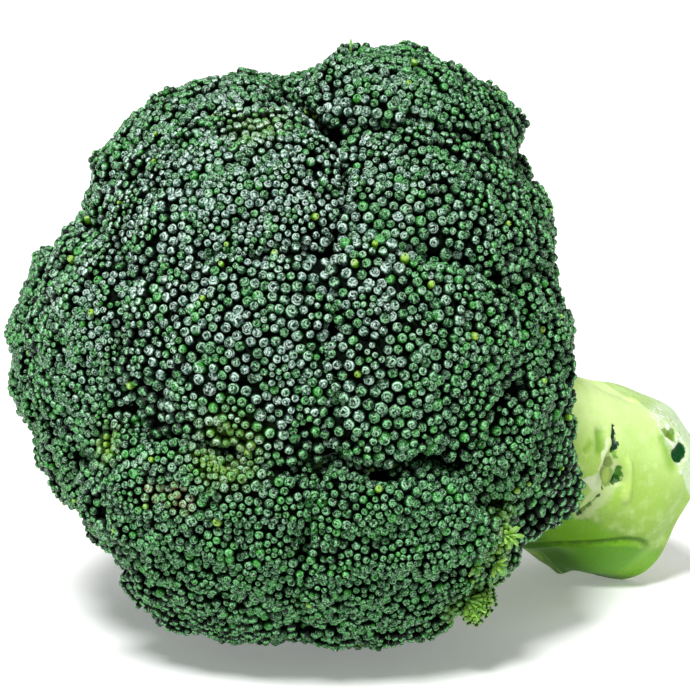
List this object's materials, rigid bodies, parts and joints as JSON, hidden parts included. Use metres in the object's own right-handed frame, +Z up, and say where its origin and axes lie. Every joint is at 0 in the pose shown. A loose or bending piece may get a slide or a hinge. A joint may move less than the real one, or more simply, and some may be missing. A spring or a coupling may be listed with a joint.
{
  "type": "broccoli head",
  "caption": "Whole broccoli head cut with a length of thick stem, lying on its side: a crown of budded florets on a branching stalk.",
  "frame": {"origin": "centre of the bounding box's underside, on the surface that the head lies on", "axes": "+Z up from the surface, +X the level direction that the stem points in, from the crown to the cut end, +Y completing a right-handed frame"},
  "size_m": [0.1732, 0.1443, 0.1406],
  "materials": {
    "stalk": "waxy pale green stalk with cut leaf scars",
    "buds": "dark green buds with a pale waxy bloom"
  },
  "bodies": {
    "root": {"stalk": "stalk", "floret_01": "buds", "floret_02": "buds", "floret_03": "buds", "floret_04": "buds", "floret_05": "buds", "floret_06": "buds", "floret_07": "buds", "floret_08": "buds", "floret_09": "buds", "floret_10": "buds", "floret_11": "buds", "floret_12": "buds", "floret_13": "buds", "floret_14": "buds", "floret_15": "buds", "floret_16": "buds", "floret_17": "buds", "floret_18": "buds", "floret_19": "buds", "floret_20": "buds", "floret_21": "buds", "floret_22": "buds"}
  },
  "joints": []
}
